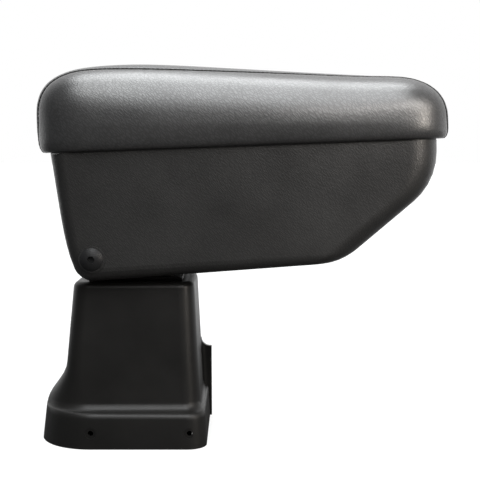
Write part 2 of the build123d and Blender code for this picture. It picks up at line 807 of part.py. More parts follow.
def lid_crown_plan(angle, wall):
    rear_in, rear_up = oval(angle, lid_rear_fullness)
    front_in, front_up = oval(angle, lid_front_fullness)
    side_in, side_up = oval(angle, lid_side_fullness)
    inset = wall * cos(radians(angle))
    sink = wall * sin(radians(angle))
    half_width = lid_bulge_half_width * (1 - side_in) - inset
    rear = (
        between(lid_bulge_rear, lid_crown_rear, rear_in) + inset,
        between(lid_bulge_rear_height, lid_crown_rear_height, rear_up) - sink,
    )
    front = (
        between(lid_bulge_front, lid_crown_front, front_in) - inset,
        between(lid_bulge_front_height, lid_crown_front_height, front_up) - sink,
    )
    return section_plan(
        rear,
        front,
        half_width,
        min(lid_bulge_rear_radius - wall, 0.9 * half_width),
        min(lid_bulge_front_radius - wall, 0.9 * half_width),
    )


def lid_plans(wall):
    plans = [lid_hem_plan(a, wall) for a in (0, 20, 40, 65)]
    plans += [lid_crown_plan(a, wall) for a in (0, 15, 28, 40, 50, 59, 67, 74, 80, 85)]
    return plans


with BuildPart() as lid_core:
    loft(lid_plans(lid_cover_thickness), ruled=True)
    split(bisect_by=rim_plane.offset(lid_gap), keep=Keep.TOP)

with BuildPart() as lid_cover:
    loft(lid_plans(0), ruled=True)
    add(lid_core.part, mode=Mode.SUBTRACT)
    add(
        rounded_plan(
            rim_plane.offset(lid_gap),
            lid_recess_rear,
            box_length + lid_rim_clearance,
            box_width / 2 + lid_rim_clearance,
            lid_recess_rear_radius,
            box_front_corner_top + lid_rim_clearance,
        )
    )
    extrude(amount=-far, mode=Mode.SUBTRACT)

with BuildPart() as lid_pan:
    add(lid_core.part)
    split(bisect_by=rim_plane.offset(lid_gap + pan_thickness), keep=Keep.BOTTOM)
    # Stiffening rib around the upper side
    rib_rear = lid_hem_rear + pan_rib_inset
    rib_front = lid_hem_front - pan_rib_inset
    rib_half_width = lid_hem_half_width - pan_rib_inset
    with BuildSketch(rim_plane.offset(lid_gap + pan_thickness)):
        with Locations(((rib_rear + rib_front) / 2, 0)):
            RectangleRounded(rib_front - rib_rear, 2 * rib_half_width, pan_rib_inset)
            RectangleRounded(
                rib_front - rib_rear - 2 * pan_rib_thickness,
                2 * (rib_half_width - pan_rib_thickness),
                pan_rib_inset - pan_rib_thickness,
                mode=Mode.SUBTRACT,
            )
    extrude(amount=pan_rib_height)
    # Groove for the hinge knuckles, and the screw and rivet holes
    with BuildSketch(side_plane):
        with Locations((hinge_axis_u, hinge_axis_w)):
            Circle(hinge_knuckle_radius + contact_gap)
    extrude(amount=hinge_length / 2 + 1, both=True, mode=Mode.SUBTRACT)
    add(hinge_upper_screws.part, mode=Mode.SUBTRACT)
    add(striker_rivets.part, mode=Mode.SUBTRACT)

with BuildPart() as lid_foam:
    add(lid_core.part)
    split(bisect_by=rim_plane.offset(lid_gap + pan_thickness), keep=Keep.TOP)
    add(lid_pan.part, mode=Mode.SUBTRACT)


os.makedirs("parts", exist_ok=True)
pieces = {
    "pedestal_cover": pedestal_cover,
    "tilt_bracket": tilt_bracket,
    "backing_plate": backing_plate,
    "bracket_bolts": bracket_bolts,
    "bracket_nuts": bracket_nuts,
    "pivot_bush_right": pivot_bush_right,
    "pivot_bush_left": pivot_bush_left,
    "rest_pad": rest_pad,
    "box_shell": box_shell,
    "storage_tray": storage_tray,
    "pivot_tube": pivot_tube,
    "pivot_spacer_right": pivot_spacer_right,
    "pivot_spacer_left": pivot_spacer_left,
    "pivot_plate_right": pivot_plate_right,
    "pivot_plate_left": pivot_plate_left,
    "pivot_bolt_right": pivot_bolt_right,
    "pivot_bolt_left": pivot_bolt_left,
    "hinge_lower_leaf": hinge_lower_leaf,
    "hinge_lower_screws": hinge_lower_screws,
    "hinge_pin": hinge_pin,
    "catch_magnet": catch_magnet,
    "lid_buffer_right": lid_buffer_right,
    "lid_buffer_left": lid_buffer_left,
    "lid_cover": lid_cover,
    "lid_foam": lid_foam,
    "lid_pan": lid_pan,
    "hinge_upper_leaf": hinge_upper_leaf,
    "hinge_upper_screws": hinge_upper_screws,
    "striker_plate": striker_plate,
    "striker_rivets": striker_rivets,
}
for label, piece in pieces.items():
    piece.part.label = label
    export_step(piece.part, f"parts/{label}.step")
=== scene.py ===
import bmesh
import bpy
import json
import math
import numpy as np
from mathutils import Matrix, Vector


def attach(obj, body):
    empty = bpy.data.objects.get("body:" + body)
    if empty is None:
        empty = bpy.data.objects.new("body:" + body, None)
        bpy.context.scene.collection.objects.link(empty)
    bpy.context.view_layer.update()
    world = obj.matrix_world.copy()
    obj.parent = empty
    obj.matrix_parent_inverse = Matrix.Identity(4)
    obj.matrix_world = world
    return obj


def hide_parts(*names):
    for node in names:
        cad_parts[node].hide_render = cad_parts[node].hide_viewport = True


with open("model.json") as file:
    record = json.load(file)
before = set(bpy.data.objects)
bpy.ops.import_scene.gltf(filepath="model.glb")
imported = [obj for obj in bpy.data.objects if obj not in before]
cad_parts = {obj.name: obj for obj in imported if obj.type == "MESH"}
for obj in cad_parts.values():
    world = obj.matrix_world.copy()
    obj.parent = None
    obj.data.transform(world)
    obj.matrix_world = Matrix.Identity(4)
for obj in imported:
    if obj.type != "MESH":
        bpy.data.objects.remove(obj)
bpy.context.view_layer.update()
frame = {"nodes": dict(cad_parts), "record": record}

nodes = frame["nodes"]
scene = bpy.context.scene
print("frame loaded with", len(nodes), "nodes")

# the box and lid share a frame: u forward along the box rim, w up from it, in mm
rim = {"tilt": 2.13, "pivotX": -18.8, "pivotZ": 141.2, "pivotU": 27.2, "pivotDepth": 79.0}
rimCos = math.cos(math.radians(rim["tilt"]))
rimSin = math.sin(math.radians(rim["tilt"]))
rimX = rim["pivotX"] - rim["pivotU"] * rimCos - rim["pivotDepth"] * rimSin
rimZ = rim["pivotZ"] - rim["pivotU"] * rimSin + rim["pivotDepth"] * rimCos
mmPerMetre = 1000.0
weldGap = 0.00008
mirror = np.array([1.0, -1.0, 1.0])


def toWorld(points):  # turns rim-frame mm into scene metres
    u, y, w = np.moveaxis(points, -1, 0)
    x = rimX + u * rimCos - w * rimSin
    z = rimZ + u * rimSin + w * rimCos
    return np.stack([x, y, z], -1) / mmPerMetre


def fromWorld(points):  # back from scene metres to rim-frame mm
    x = points[..., 0] * mmPerMetre - rimX
    z = points[..., 2] * mmPerMetre - rimZ
    return np.stack([x * rimCos + z * rimSin, points[..., 1] * mmPerMetre, z * rimCos - x * rimSin], -1)


def mix(low, high, share):
    return low + share * (high - low)


def smooth(t):  # eases 0 to 1 with level ends
    return t * t * (3 - 2 * t)


# Half of a rounded rectangle in plan as a function of a place s along it: s runs 0 to 1 over half
# the front edge, to 2 round the front corner, to 3 along the side, to 4 round the rear corner and
# to 5 over half the rear edge. Corners are quarter ovals: a circle at square 2, and easing into
# the edges above that.
def planPoint(rear, front, half, rearRadius, frontRadius, s, square=2.0):
    run = np.clip(np.floor(s), 0, 4)
    t = s - run
    a = t * math.pi / 2
    c, d = np.abs(np.cos(a)) ** (2 / square), np.abs(np.sin(a)) ** (2 / square)
    runs = [run == 0, run == 1, run == 2, run == 3]
    u = np.select(runs, [front + 0 * t, front - frontRadius * (1 - c),
                         mix(front - frontRadius, rear + rearRadius, t), rear + rearRadius * (1 - d)],
                  rear + 0 * t)
    y = np.select(runs, [t * (half - frontRadius), half - frontRadius * (1 - d),
                         half + 0 * t, half - rearRadius * (1 - c)],
                  (1 - t) * (half - rearRadius))
    return u, y


# Quads of a grid of rows by columns, closed round the columns.
def ringFaces(rows, cols):
    r, c = np.meshgrid(np.arange(rows - 1), np.arange(cols), indexing="ij")
    n = (c + 1) % cols
    quads = np.stack([r * cols + c, r * cols + n, (r + 1) * cols + n, (r + 1) * cols + c], -1)
    return quads.reshape(-1, 4).tolist()


# The same with its last row closed across the middle: each place on the left is joined to its
# mirror place.
def cappedFaces(rows, cols):
    start, turn = (rows - 1) * cols, cols // 2
    k = np.arange(1, turn - 1)
    strip = start + np.stack([k, k + 1, cols - k - 1, cols - k], -1)
    ends = [[start, start + 1, start + cols - 1], [start + turn - 1, start + turn, start + turn + 1]]
    return ringFaces(rows, cols) + strip.tolist() + ends


def weldEnds(piece):  # merges the rows that shrink to a line and points all faces outwards
    shape = bmesh.new()
    shape.from_mesh(piece.data)
    bmesh.ops.remove_doubles(shape, verts=shape.verts, dist=weldGap)
    bmesh.ops.recalc_face_normals(shape, faces=shape.faces)
    shape.to_mesh(piece.data)
    shape.free()


def meshPiece(name, points, faces, material):
    mesh = bpy.data.meshes.new(name)
    mesh.from_pydata(points.reshape(-1, 3).tolist(), [], faces)
    mesh.polygons.foreach_set("use_smooth", np.ones(len(mesh.polygons), bool))
    mesh.materials.append(material)
    mesh.update()
    piece = bpy.data.objects.new(name, mesh)
    scene.collection.objects.link(piece)
    return piece


# materials
noiseSpan = {"low": 0.3, "high": 0.7}  # most of a noise texture lies between these


def blankMaterial(name):
    material = bpy.data.materials.new(name)
    material.use_nodes = True
    tree = material.node_tree
    shader = tree.nodes["Principled BSDF"]
    return material, tree, shader


def addNode(tree, kind, inputs=None, **settings):
    node = tree.nodes.new(kind)
    for key, value in settings.items():
        setattr(node, key, value)
    for key, value in (inputs or {}).items():
        if isinstance(value, bpy.types.NodeSocket):
            tree.links.new(value, node.inputs[key])
        else:
            node.inputs[key].default_value = value
    return node


def objectCoords(tree):
    return addNode(tree, "ShaderNodeTexCoord").outputs["Object"]


def mapRange(tree, value, low, high, toLow, toHigh):
    n = addNode(tree, "ShaderNodeMapRange", {"Value": value, "From Min": low, "From Max": high,
                                             "To Min": toLow, "To Max": toHigh})
    return n.outputs["Result"]


def spread(tree, noise, toLow, toHigh):
    return mapRange(tree, noise, noiseSpan["low"], noiseSpan["high"], toLow, toHigh)


def noiseAt(tree, coords, scale, detail=3.0, roughness=0.55):
    n = addNode(tree, "ShaderNodeTexNoise", {"Vector": coords, "Scale": scale, "Detail": detail,
                                             "Roughness": roughness})
    return n.outputs["Fac"]


def math2(tree, operation, a, b):
    return addNode(tree, "ShaderNodeMath", {0: a, 1: b}, operation=operation).outputs[0]


def vector2(tree, operation, a, b):
    return addNode(tree, "ShaderNodeVectorMath", {0: a, 1: b}, operation=operation).outputs[0]


def opaque(tone):
    return tuple(tone) + (1.0,)


def colourMix(tree, share, first, second):  # inputs 6 and 7 and output 2 are the node's colour sockets
    n = addNode(tree, "ShaderNodeMix", {"Factor": share, 6: first, 7: second}, data_type="RGBA")
    return n.outputs[2]


def grainedSkin(name, look):
    # pebbled hide: cell edges as fine valleys drawn out on the slant, broken up by noise, under
    # patches of gloss, with painted shade darkening the valleys towards a near-black tone
    material, tree, shader = blankMaterial(name)
    coords = objectCoords(tree)
    slant = {"Vector": coords, "Rotation": (0, math.radians(look["creaseTurn"]), 0),
             "Scale": (look["creaseStretch"], 1, 1)}
    slanted = addNode(tree, "ShaderNodeMapping", slant, vector_type="TEXTURE").outputs[0]
    warp = addNode(tree, "ShaderNodeTexNoise", {"Vector": coords, "Scale": look["warpScale"],
                                                "Detail": 2.0})
    shifted = vector2(tree, "MULTIPLY", warp.outputs["Color"], (look["warp"],) * 3)
    moved = vector2(tree, "ADD", slanted, shifted)
    cells = addNode(tree, "ShaderNodeTexVoronoi", {"Vector": moved, "Scale": look["cellScale"]},
                    feature="DISTANCE_TO_EDGE").outputs["Distance"]
    valley = mapRange(tree, cells, 0.0, look["valleyWidth"], 0.0, 1.0)
    fine = noiseAt(tree, coords, look["fineScale"], detail=2.0)
    height = math2(tree, "ADD", valley, math2(tree, "MULTIPLY", fine, look["fineShare"]))
    bump = addNode(tree, "ShaderNodeBump", {"Height": height, "Strength": look["bump"],
                                            "Distance": look["bumpDepth"]})
    tree.links.new(bump.outputs["Normal"], shader.inputs["Normal"])
    patches = noiseAt(tree, coords, look["patchScale"], detail=4.0)
    rough = math2(tree, "ADD", spread(tree, patches, look["roughLow"], look["roughHigh"]),
                  mapRange(tree, valley, 0.0, 1.0, look["valleyRough"], 0.0))
    tree.links.new(rough, shader.inputs["Roughness"])
    tone = colourMix(tree, spread(tree, patches, 0.0, 1.0), opaque(look["dark"]), opaque(look["light"]))
    # painted shade: the grain valleys are darkened towards a near-black tone
    valleyShadedTone = colourMix(tree, mapRange(tree, valley, 0.0, 1.0, look["valleyShadeShare"], 0.0), tone,
                     opaque(look["valleyShade"]))
    tree.links.new(valleyShadedTone, shader.inputs["Base Color"])
    shader.inputs["Specular IOR Level"].default_value = look["specular"]
    return material


# the darkest tone in these looks, which the grain valleys are darkened towards, is painted shade
leatheretteLook = {"cellScale": 620.0, "warpScale": 260.0, "warp": 0.0012, "fineScale": 2600.0,
                   "fineShare": 0.3, "bump": 0.17, "bumpDepth": 0.00025, "patchScale": 22.0,
                   "roughLow": 0.27, "roughHigh": 0.34, "valleyRough": 0.10, "valleyWidth": 0.22,
                   "dark": (0.036, 0.036, 0.037), "light": (0.048, 0.048, 0.049),
                   "valleyShade": (0.010, 0.010, 0.010), "valleyShadeShare": 0.6, "specular": 0.9,
                   "creaseTurn": 45.0, "creaseStretch": 3.0}
boxLook = dict(leatheretteLook, cellScale=700.0, roughLow=0.30, roughHigh=0.38, bump=0.22, specular=0.6,
               dark=(0.019, 0.0185, 0.0182), light=(0.027, 0.0265, 0.026))
baseLook = dict(leatheretteLook, cellScale=1300.0, bump=0.10, roughLow=0.32, roughHigh=0.40,
                valleyRough=0.05, valleyShadeShare=0.2, specular=0.3, creaseStretch=1.2,
                dark=(0.008, 0.0078, 0.0075), light=(0.012, 0.0115, 0.011))

leatherette = grainedSkin("leatherette", leatheretteLook)
boxGrain = grainedSkin("boxGrain", boxLook)
baseGrain = grainedSkin("baseGrain", baseLook)

plainBumpDepth = 0.0001


def plainFinish(name, look):
    # moulded or plated part: faint mottling of tone and gloss with a fine bump
    material, tree, shader = blankMaterial(name)
    coords = objectCoords(tree)
    mottle = noiseAt(tree, coords, look["scale"], detail=5.0)
    tone = colourMix(tree, mottle, opaque(look["dark"]), opaque(look["light"]))
    tree.links.new(tone, shader.inputs["Base Color"])
    rough = spread(tree, mottle, look["roughLow"], look["roughHigh"])
    tree.links.new(rough, shader.inputs["Roughness"])
    bump = addNode(tree, "ShaderNodeBump", {"Height": noiseAt(tree, coords, look["bumpScale"]),
                                            "Strength": look["bump"], "Distance": plainBumpDepth})
    tree.links.new(bump.outputs["Normal"], shader.inputs["Normal"])
    shader.inputs["Metallic"].default_value = look["metal"]
    shader.inputs["Specular IOR Level"].default_value = look["specular"]
    return material


plainLooks = {
    "innerAbs": {"scale": 40.0, "bumpScale": 1500.0, "bump": 0.25, "metal": 0.0, "specular": 0.4,
                 "dark": (0.018, 0.018, 0.018), "light": (0.026, 0.026, 0.026),
                 "roughLow": 0.5, "roughHigh": 0.62},
    "foam": {"scale": 300.0, "bumpScale": 900.0, "bump": 0.8, "metal": 0.0, "specular": 0.4,
             "dark": (0.5, 0.46, 0.36), "light": (0.62, 0.58, 0.47),
             "roughLow": 0.9, "roughHigh": 1.0},
    "blackSteel": {"scale": 120.0, "bumpScale": 2200.0, "bump": 0.3, "metal": 0.0, "specular": 0.2,
                   "dark": (0.012, 0.012, 0.0125), "light": (0.02, 0.02, 0.021),
                   "roughLow": 0.36, "roughHigh": 0.48},
    "zincSteel": {"scale": 160.0, "bumpScale": 1800.0, "bump": 0.12, "metal": 1.0, "specular": 0.5,
                  "dark": (0.48, 0.48, 0.46), "light": (0.62, 0.62, 0.6),
                  "roughLow": 0.28, "roughHigh": 0.42},
    "nylon": {"scale": 80.0, "bumpScale": 1600.0, "bump": 0.15, "metal": 0.0, "specular": 0.4,
              "dark": (0.03, 0.03, 0.03), "light": (0.045, 0.045, 0.044),
              "roughLow": 0.42, "roughHigh": 0.55},
    "rubber": {"scale": 90.0, "bumpScale": 1400.0, "bump": 0.3, "metal": 0.0, "specular": 0.4,
               "dark": (0.012, 0.012, 0.012), "light": (0.02, 0.02, 0.02),
               "roughLow": 0.7, "roughHigh": 0.85},
    "magnet": {"scale": 100.0, "bumpScale": 2000.0, "bump": 0.08, "metal": 1.0, "specular": 0.5,
               "dark": (0.55, 0.54, 0.52), "light": (0.66, 0.65, 0.63),
               "roughLow": 0.2, "roughHigh": 0.3},
}
finishes = {name: plainFinish(name, look) for name, look in plainLooks.items()}
finishes.update({"leatherette": leatherette, "boxGrain": boxGrain, "baseGrain": baseGrain})
slotFinish = {"leatherette": "leatherette", "box_abs": "boxGrain", "base_abs": "baseGrain",
              "inner_abs": "innerAbs", "foam": "foam", "black_steel": "blackSteel",
              "zinc_steel": "zincSteel", "nylon": "nylon", "rubber": "rubber", "magnet": "magnet"}
for entry in frame["record"]["subparts"]:
    cadMesh = nodes[entry["node"]].data
    cadMesh.materials.clear()
    cadMesh.materials.append(finishes[slotFinish[entry["material_slot"]]])

# the moulded shells are shaded smooth across their narrow strips and stay crisp at real edges
shading = {"mergeGap": 0.000005, "crispAngle": 38.0, "normalWeight": 50,
           "pieces": ("box_shell", "pedestal_cover", "storage_tray")}
for name in shading["pieces"]:
    merge = nodes[name].modifiers.new("merge", "WELD")
    merge.merge_threshold = shading["mergeGap"]
    crisp = nodes[name].modifiers.new("crisp", "EDGE_SPLIT")
    crisp.split_angle = math.radians(shading["crispAngle"])
    even = nodes[name].modifiers.new("even", "WEIGHTED_NORMAL")
    even.weight = shading["normalWeight"]
print("materials given to the solid parts")

# padded lid cover, in mm of the rim frame
lid = {
    # hem: the foot of the cover, rolled in
    "hemDrop": 1.3, "hemRear": -9.2, "hemFront": 292.1, "hemHalf": 62.0, "hemRearRadius": 34.0,
    "hemFrontRadius": 41.0, "rollRear": 2.4, "rollFront": 3.2, "rollSide": 2.5, "rollHeight": 8.0,
    # fullest line and corners
    "bulgeRear": -11.8, "bulgeFront": 292.6, "bulgeHalf": 66.0, "bulgeRearHeight": 20.1,
    "bulgeFrontHeight": 10.0, "bulgeRearRadius": 42.0, "bulgeFrontRadius": 46.0,
    "cornerSquare": 2.45, "radiusShare": 0.9,
    # crown
    "crownRear": 66.6, "crownFront": 235.0, "crownRearHeight": 63.0, "crownFrontHeight": 47.4,
    "rearFullness": 3.35, "frontFullness": 2.7, "sideFullness": 2.7, "endFullness": 0.6,
    "endLength": 90.0, "easeWidth": 16.0, "easeFrom": 28.0, "easeOver": 40.0,
    # underside
    "recessRear": -5.3, "recessFront": 282.8, "recessHalf": 58.8, "recessRearRadius": 18.0,
    "recessFrontRadius": 24.3, "recessTop": 3.9, "underInsets": (46.0, 28.0, 12.0, 3.0, 0.0),
    "underEnd": 0.02, "leastRadius": 0.1,
    # grid
    "columns": (12, 26, 90, 24, 14), "hemRows": 11, "crownRows": 44, "crownCrowding": 0.85,
    "topShare": 0.985,
    # cloth pass
    "pressure": 10.0, "stretch": 2.0, "bend": 0.5, "mass": 0.3, "quality": 5, "pinStiffness": 3.0,
    "frames": 20, "cap": 2.2, "under": 0.8, "hemHeldRows": 3, "hemEaseRows": 6.0}

# seam of the lid's side panels
seam = {"rear": 0.655, "front": 0.765, "turn": 73.0, "square": 2.7, "step": 0.6, "cornerSteps": 160,
        "sideSteps": 700, "dent": 0.9, "width": 2.6, "pucker": 0.16, "puckerLength": 9.0,
        "puckerReach": 7.0, "puckerStart": 3.0, "wander": 1.7, "wanderLength": 23.0,
        "held": 1.5, "easeOver": 14.0}


# Level of the cover at height share v. From -1, the hem's foot, to 0, the fullest line, it swells
# along a quarter oval, and its foot is rolled in along a smaller one. From 0 to 1, the top, it
# closes in and rises along quarter ovals whose fullness is the power on the cosine and sine, one
# for the rear, one for the front and one for the sides.
def lidLevel(v):
    h = np.clip(v + 1, 0, 1) * math.pi / 2
    c = np.clip(v, 0, 1) * math.pi / 2
    out, up = np.sin(h), 1 - np.cos(h)
    low = np.asarray(v) < 0

    def closed(fullness):
        return 1 - np.abs(np.cos(c)) ** (2 / fullness)

    def risen(fullness):
        return np.abs(np.sin(c)) ** (2 / fullness)

    def rolled(roll, height):
        t = np.clip(1 - up * (height + lid["hemDrop"]) / lid["rollHeight"], 0, 1)
        return roll * (1 - np.sqrt(1 - t * t))

    def swell(start, end):
        return mix(lid[start], lid[end], out)

    rearHeight, frontHeight = lid["bulgeRearHeight"], lid["bulgeFrontHeight"]
    sideHeight = (rearHeight + frontHeight) / 2
    half = np.where(low, swell("hemHalf", "bulgeHalf") - rolled(lid["rollSide"], sideHeight),
                    lid["bulgeHalf"] * (1 - closed(lid["sideFullness"])))
    rear = np.where(low, swell("hemRear", "bulgeRear") + rolled(lid["rollRear"], rearHeight),
                    mix(lid["bulgeRear"], lid["crownRear"], closed(lid["rearFullness"])))
    front = np.where(low, swell("hemFront", "bulgeFront") - rolled(lid["rollFront"], frontHeight),
                     mix(lid["bulgeFront"], lid["crownFront"], closed(lid["frontFullness"])))
    rearW = np.where(low, mix(-lid["hemDrop"], rearHeight, up),
                     mix(rearHeight, lid["crownRearHeight"], risen(lid["rearFullness"])))
    frontW = np.where(low, mix(-lid["hemDrop"], frontHeight, up),
                      mix(frontHeight, lid["crownFrontHeight"], risen(lid["frontFullness"])))
    rearRadius = np.where(low, swell("hemRearRadius", "bulgeRearRadius"),
                          np.minimum(lid["bulgeRearRadius"], lid["radiusShare"] * half))
    frontRadius = np.where(low, swell("hemFrontRadius", "bulgeFrontRadius"),
                           np.minimum(lid["bulgeFrontRadius"], lid["radiusShare"] * half))
    return rear, front, half, rearW, frontW, rearRadius, frontRadius


# Lengthwise profile over the middle, and the same profile eased by a bell-shaped average.
profile = {"samples": 1500, "step": 0.5, "reach": 100}
middleLevels = lidLevel(np.sin(np.linspace(0, math.pi / 2, profile["samples"])) ** 2)
profileU = np.concatenate([middleLevels[0], middleLevels[1][::-1]])
profileW = np.concatenate([middleLevels[3], middleLevels[4][::-1]])
evenU = np.arange(lid["bulgeRear"], lid["bulgeFront"], profile["step"])
evenW = np.pad(np.interp(evenU, profileU, profileW), profile["reach"], mode="edge")
bellRun = np.arange(-profile["reach"], profile["reach"] + 1) * profile["step"]
bell = np.exp(-0.5 * (bellRun / lid["easeWidth"]) ** 2)
easedW = np.convolve(evenW, bell / bell.sum(), "valid")


def middleHeight(u):  # lengthwise profile, with its slopes eased into each other away from the ends
    fromEnd = np.minimum(u - lid["bulgeRear"], lid["bulgeFront"] - u)
    inner = np.clip((fromEnd - lid["easeFrom"]) / lid["easeOver"], 0, 1)
    return mix(np.interp(u, profileU, profileW), np.interp(u, evenU, easedW), smooth(inner))


# Height of the crown at a plan point: the lengthwise profile over the middle, brought down to the
# fullest line at the sides along an oval that is a little fuller towards the ends.
def crownHeight(u, y):
    fromRear, fromFront = np.maximum(u - lid["bulgeRear"], 0), np.maximum(lid["bulgeFront"] - u, 0)
    low = mix(lid["bulgeRearHeight"], lid["bulgeFrontHeight"],
              fromRear / (lid["bulgeFront"] - lid["bulgeRear"]))

    def corner(radius, run):
        t = np.clip(1 - run / radius, 0, 1)
        return radius * (1 - (1 - t ** lid["cornerSquare"]) ** (1 / lid["cornerSquare"]))

    cut = corner(lid["bulgeRearRadius"], fromRear) + corner(lid["bulgeFrontRadius"], fromFront)
    ends = np.clip(1 - np.minimum(fromRear, fromFront) / lid["endLength"], 0, 1)
    fullness = lid["sideFullness"] + lid["endFullness"] * smooth(ends)
    across = np.clip(np.abs(y) / (lid["bulgeHalf"] - cut), 0, 1)
    return low + (middleHeight(u) - low) * (1 - across ** fullness) ** (1 / fullness)


def lidPoint(v, s):  # point of the cover's left half at height share v and plan place s
    rear, front, half, rearW, frontW, rearRadius, frontRadius = lidLevel(v)
    u, y = planPoint(rear, front, half, rearRadius, frontRadius, s, lid["cornerSquare"])
    hemW = mix(rearW, frontW, (u - rear) / (front - rear))
    return np.stack([u, y, np.where(np.asarray(v) + 0 * u < 0, hemW, crownHeight(u, y))], -1)


# Underside of the cover, from its middle line outwards: a flat sheet inside the pan that grows from
# a line, then down the inside of the hem.
def lidUnder(s):
    inset = np.array([lid["recessHalf"] - lid["underEnd"], *lid["underInsets"], 0.0])[:, None]
    height = np.full(inset.shape, lid["recessTop"])
    height[-1] = -0.5 * lid["hemDrop"]
    half = lid["recessHalf"] - inset
    least = lid["leastRadius"] * half
    u, y = planPoint(lid["recessRear"] + inset, lid["recessFront"] - inset, half,
                     np.maximum(lid["recessRearRadius"] - inset, least),
                     np.maximum(lid["recessFrontRadius"] - inset, least), s)
    return np.stack([u, y, height + 0 * u], -1)


def bothHalves(points):  # rows of a left half, followed by its mirror image walked back to the start
    return np.concatenate([points, points[:, -2:0:-1] * mirror], 1)


stations = np.concatenate([np.linspace(k, k + 1, n, endpoint=False)
                           for k, n in enumerate(lid["columns"])] + [[5.0]])[None, :]
hemShares = np.linspace(-1, 0, lid["hemRows"], endpoint=False)
crownTurn = np.linspace(0, math.pi / 2, lid["crownRows"])
crownShares = lid["topShare"] * np.sin(crownTurn) ** lid["crownCrowding"]
shares = np.concatenate([hemShares, crownShares])[:, None]
under = lidUnder(stations)
underRows = len(under)
lidRows = bothHalves(np.concatenate([under, lidPoint(shares, stations)]))

# Seam of each side panel: up the front corner, along the top edge and down the rear corner. In the
# corners the turn from the side and the height share follow a rounded quarter.
a = np.linspace(0, math.pi / 2, seam["cornerSteps"])
seamTurn = seam["turn"] / 90 * np.cos(a) ** (2 / seam["square"])
seamRise = np.sin(a) ** (2 / seam["square"])
along = np.linspace(0, 1, seam["sideSteps"])[1:-1]
seamPlace = np.concatenate([2 - seamTurn, 2 + along, 3 + seamTurn[::-1]])
seamShare = np.concatenate([(seam["front"] + 1) * seamRise - 1,
                            mix(seam["front"], seam["rear"], smooth(along)),
                            (seam["rear"] + 1) * seamRise[::-1] - 1])
seamPath = lidPoint(seamShare, seamPlace)
seamArc = np.concatenate([[0], np.cumsum(np.linalg.norm(np.diff(seamPath, axis=0), axis=1))])
seamSteps = np.arange(0, seamArc[-1], seam["step"])


def evenlyAlong(values):  # values along the seam, read at even steps of its length
    return np.stack([np.interp(seamSteps, seamArc, values[:, k]) for k in range(3)], -1)


nudge = 0.002
seamLine = evenlyAlong(seamPath)
seamBoth = np.concatenate([seamLine, seamLine * mirror])
seamOut = evenlyAlong(np.cross(
    lidPoint(seamShare, seamPlace + nudge) - lidPoint(seamShare, seamPlace - nudge),
    lidPoint(seamShare + nudge, seamPlace) - lidPoint(seamShare - nudge, seamPlace)))
seamOut *= np.sign(seamOut[len(seamOut) // 2, 1])
seamOut /= np.linalg.norm(seamOut, axis=1, keepdims=True)


def nearestSeam(points):  # distance in mm to the seam and the length of seam from its start
    flat = points.reshape(-1, 3)
    square = (flat ** 2).sum(1)[:, None] + (seamBoth ** 2).sum(1)[None, :] - 2 * flat @ seamBoth.T
    nearest = square.argmin(1)
    gap = np.sqrt(np.maximum(square[np.arange(len(flat)), nearest], 0))
    run = nearest % len(seamLine) * seam["step"]
    return gap.reshape(points.shape[:-1]), run.reshape(points.shape[:-1])


def rowNormals(points):  # normals of a grid closed round its columns
    across = np.roll(points, -1, 1) - np.roll(points, 1, 1)
    upward = np.gradient(points, axis=0)
    n = np.cross(across, upward)
    return n / np.maximum(np.linalg.norm(n, axis=-1, keepdims=True), 1e-9)


seamGap, seamRun = nearestSeam(lidRows)
lidNormal = rowNormals(lidRows)
sideColumn = sum(lid["columns"][:2]) + lid["columns"][2] // 2
if lidNormal[len(lidRows) // 2, sideColumn, 1] < 0:
    lidNormal = -lidNormal

# how free each point is to move: 0 at the seam, the hem and the underside, 1 away from them
heldRows = underRows + lid["hemHeldRows"]
free = np.clip((seamGap - seam["held"]) / seam["easeOver"], 0, 1)
free[:heldRows] = 0
hemFade = np.clip((np.arange(len(lidRows)) - heldRows + 1) / lid["hemEaseRows"], 0, 1)[:, None]
free = smooth(free * hemFade)


# Cloth pass: the cover is blown up from inside, held at its seam and hem.
def blowUp(points, hold):
    trial = meshPiece("lidTrial", toWorld(points), cappedFaces(*points.shape[:2]), leatherette)
    pins = trial.vertex_groups.new(name="held")
    weights = np.round(hold.reshape(-1), 1)
    for level in np.unique(weights):
        pins.add(np.flatnonzero(weights == level).tolist(), float(level), "REPLACE")
    cloth = trial.modifiers.new("cloth", "CLOTH")
    cloth.settings.quality = lid["quality"]
    cloth.settings.mass = lid["mass"]
    cloth.settings.tension_stiffness = lid["stretch"]
    cloth.settings.compression_stiffness = lid["stretch"]
    cloth.settings.shear_stiffness = lid["stretch"]
    cloth.settings.bending_stiffness = lid["bend"]
    cloth.settings.use_pressure = True
    cloth.settings.uniform_pressure_force = lid["pressure"]
    cloth.settings.effector_weights.gravity = 0.0
    cloth.settings.vertex_group_mass = "held"
    cloth.settings.pin_stiffness = lid["pinStiffness"]
    cloth.collision_settings.use_collision = False
    for step in range(1, lid["frames"] + 1):
        scene.frame_set(step)
    shaped = trial.evaluated_get(bpy.context.evaluated_depsgraph_get()).to_mesh()
    place = np.empty(len(shaped.vertices) * 3)
    shaped.vertices.foreach_get("co", place)
    scene.frame_set(1)
    bpy.data.objects.remove(trial)
    return fromWorld(place.reshape(points.shape))


padRows = lidRows
blown = blowUp(lidRows, 1 - free)
shift = ((blown - lidRows) * lidNormal).sum(-1)
least, most = round(float(shift.min()), 2), round(float(shift.max()), 2)
print("cloth moved the cover", least, "to", most, "mm")
# eased towards its two limits by a hyperbolic tangent, and to nothing at the seam and hem
limit = np.where(shift > 0, lid["cap"], lid["under"])
shift = limit * np.tanh(shift / limit) * smooth(np.minimum(free * 2, 1))
padRows = lidRows + lidNormal * shift[..., None]

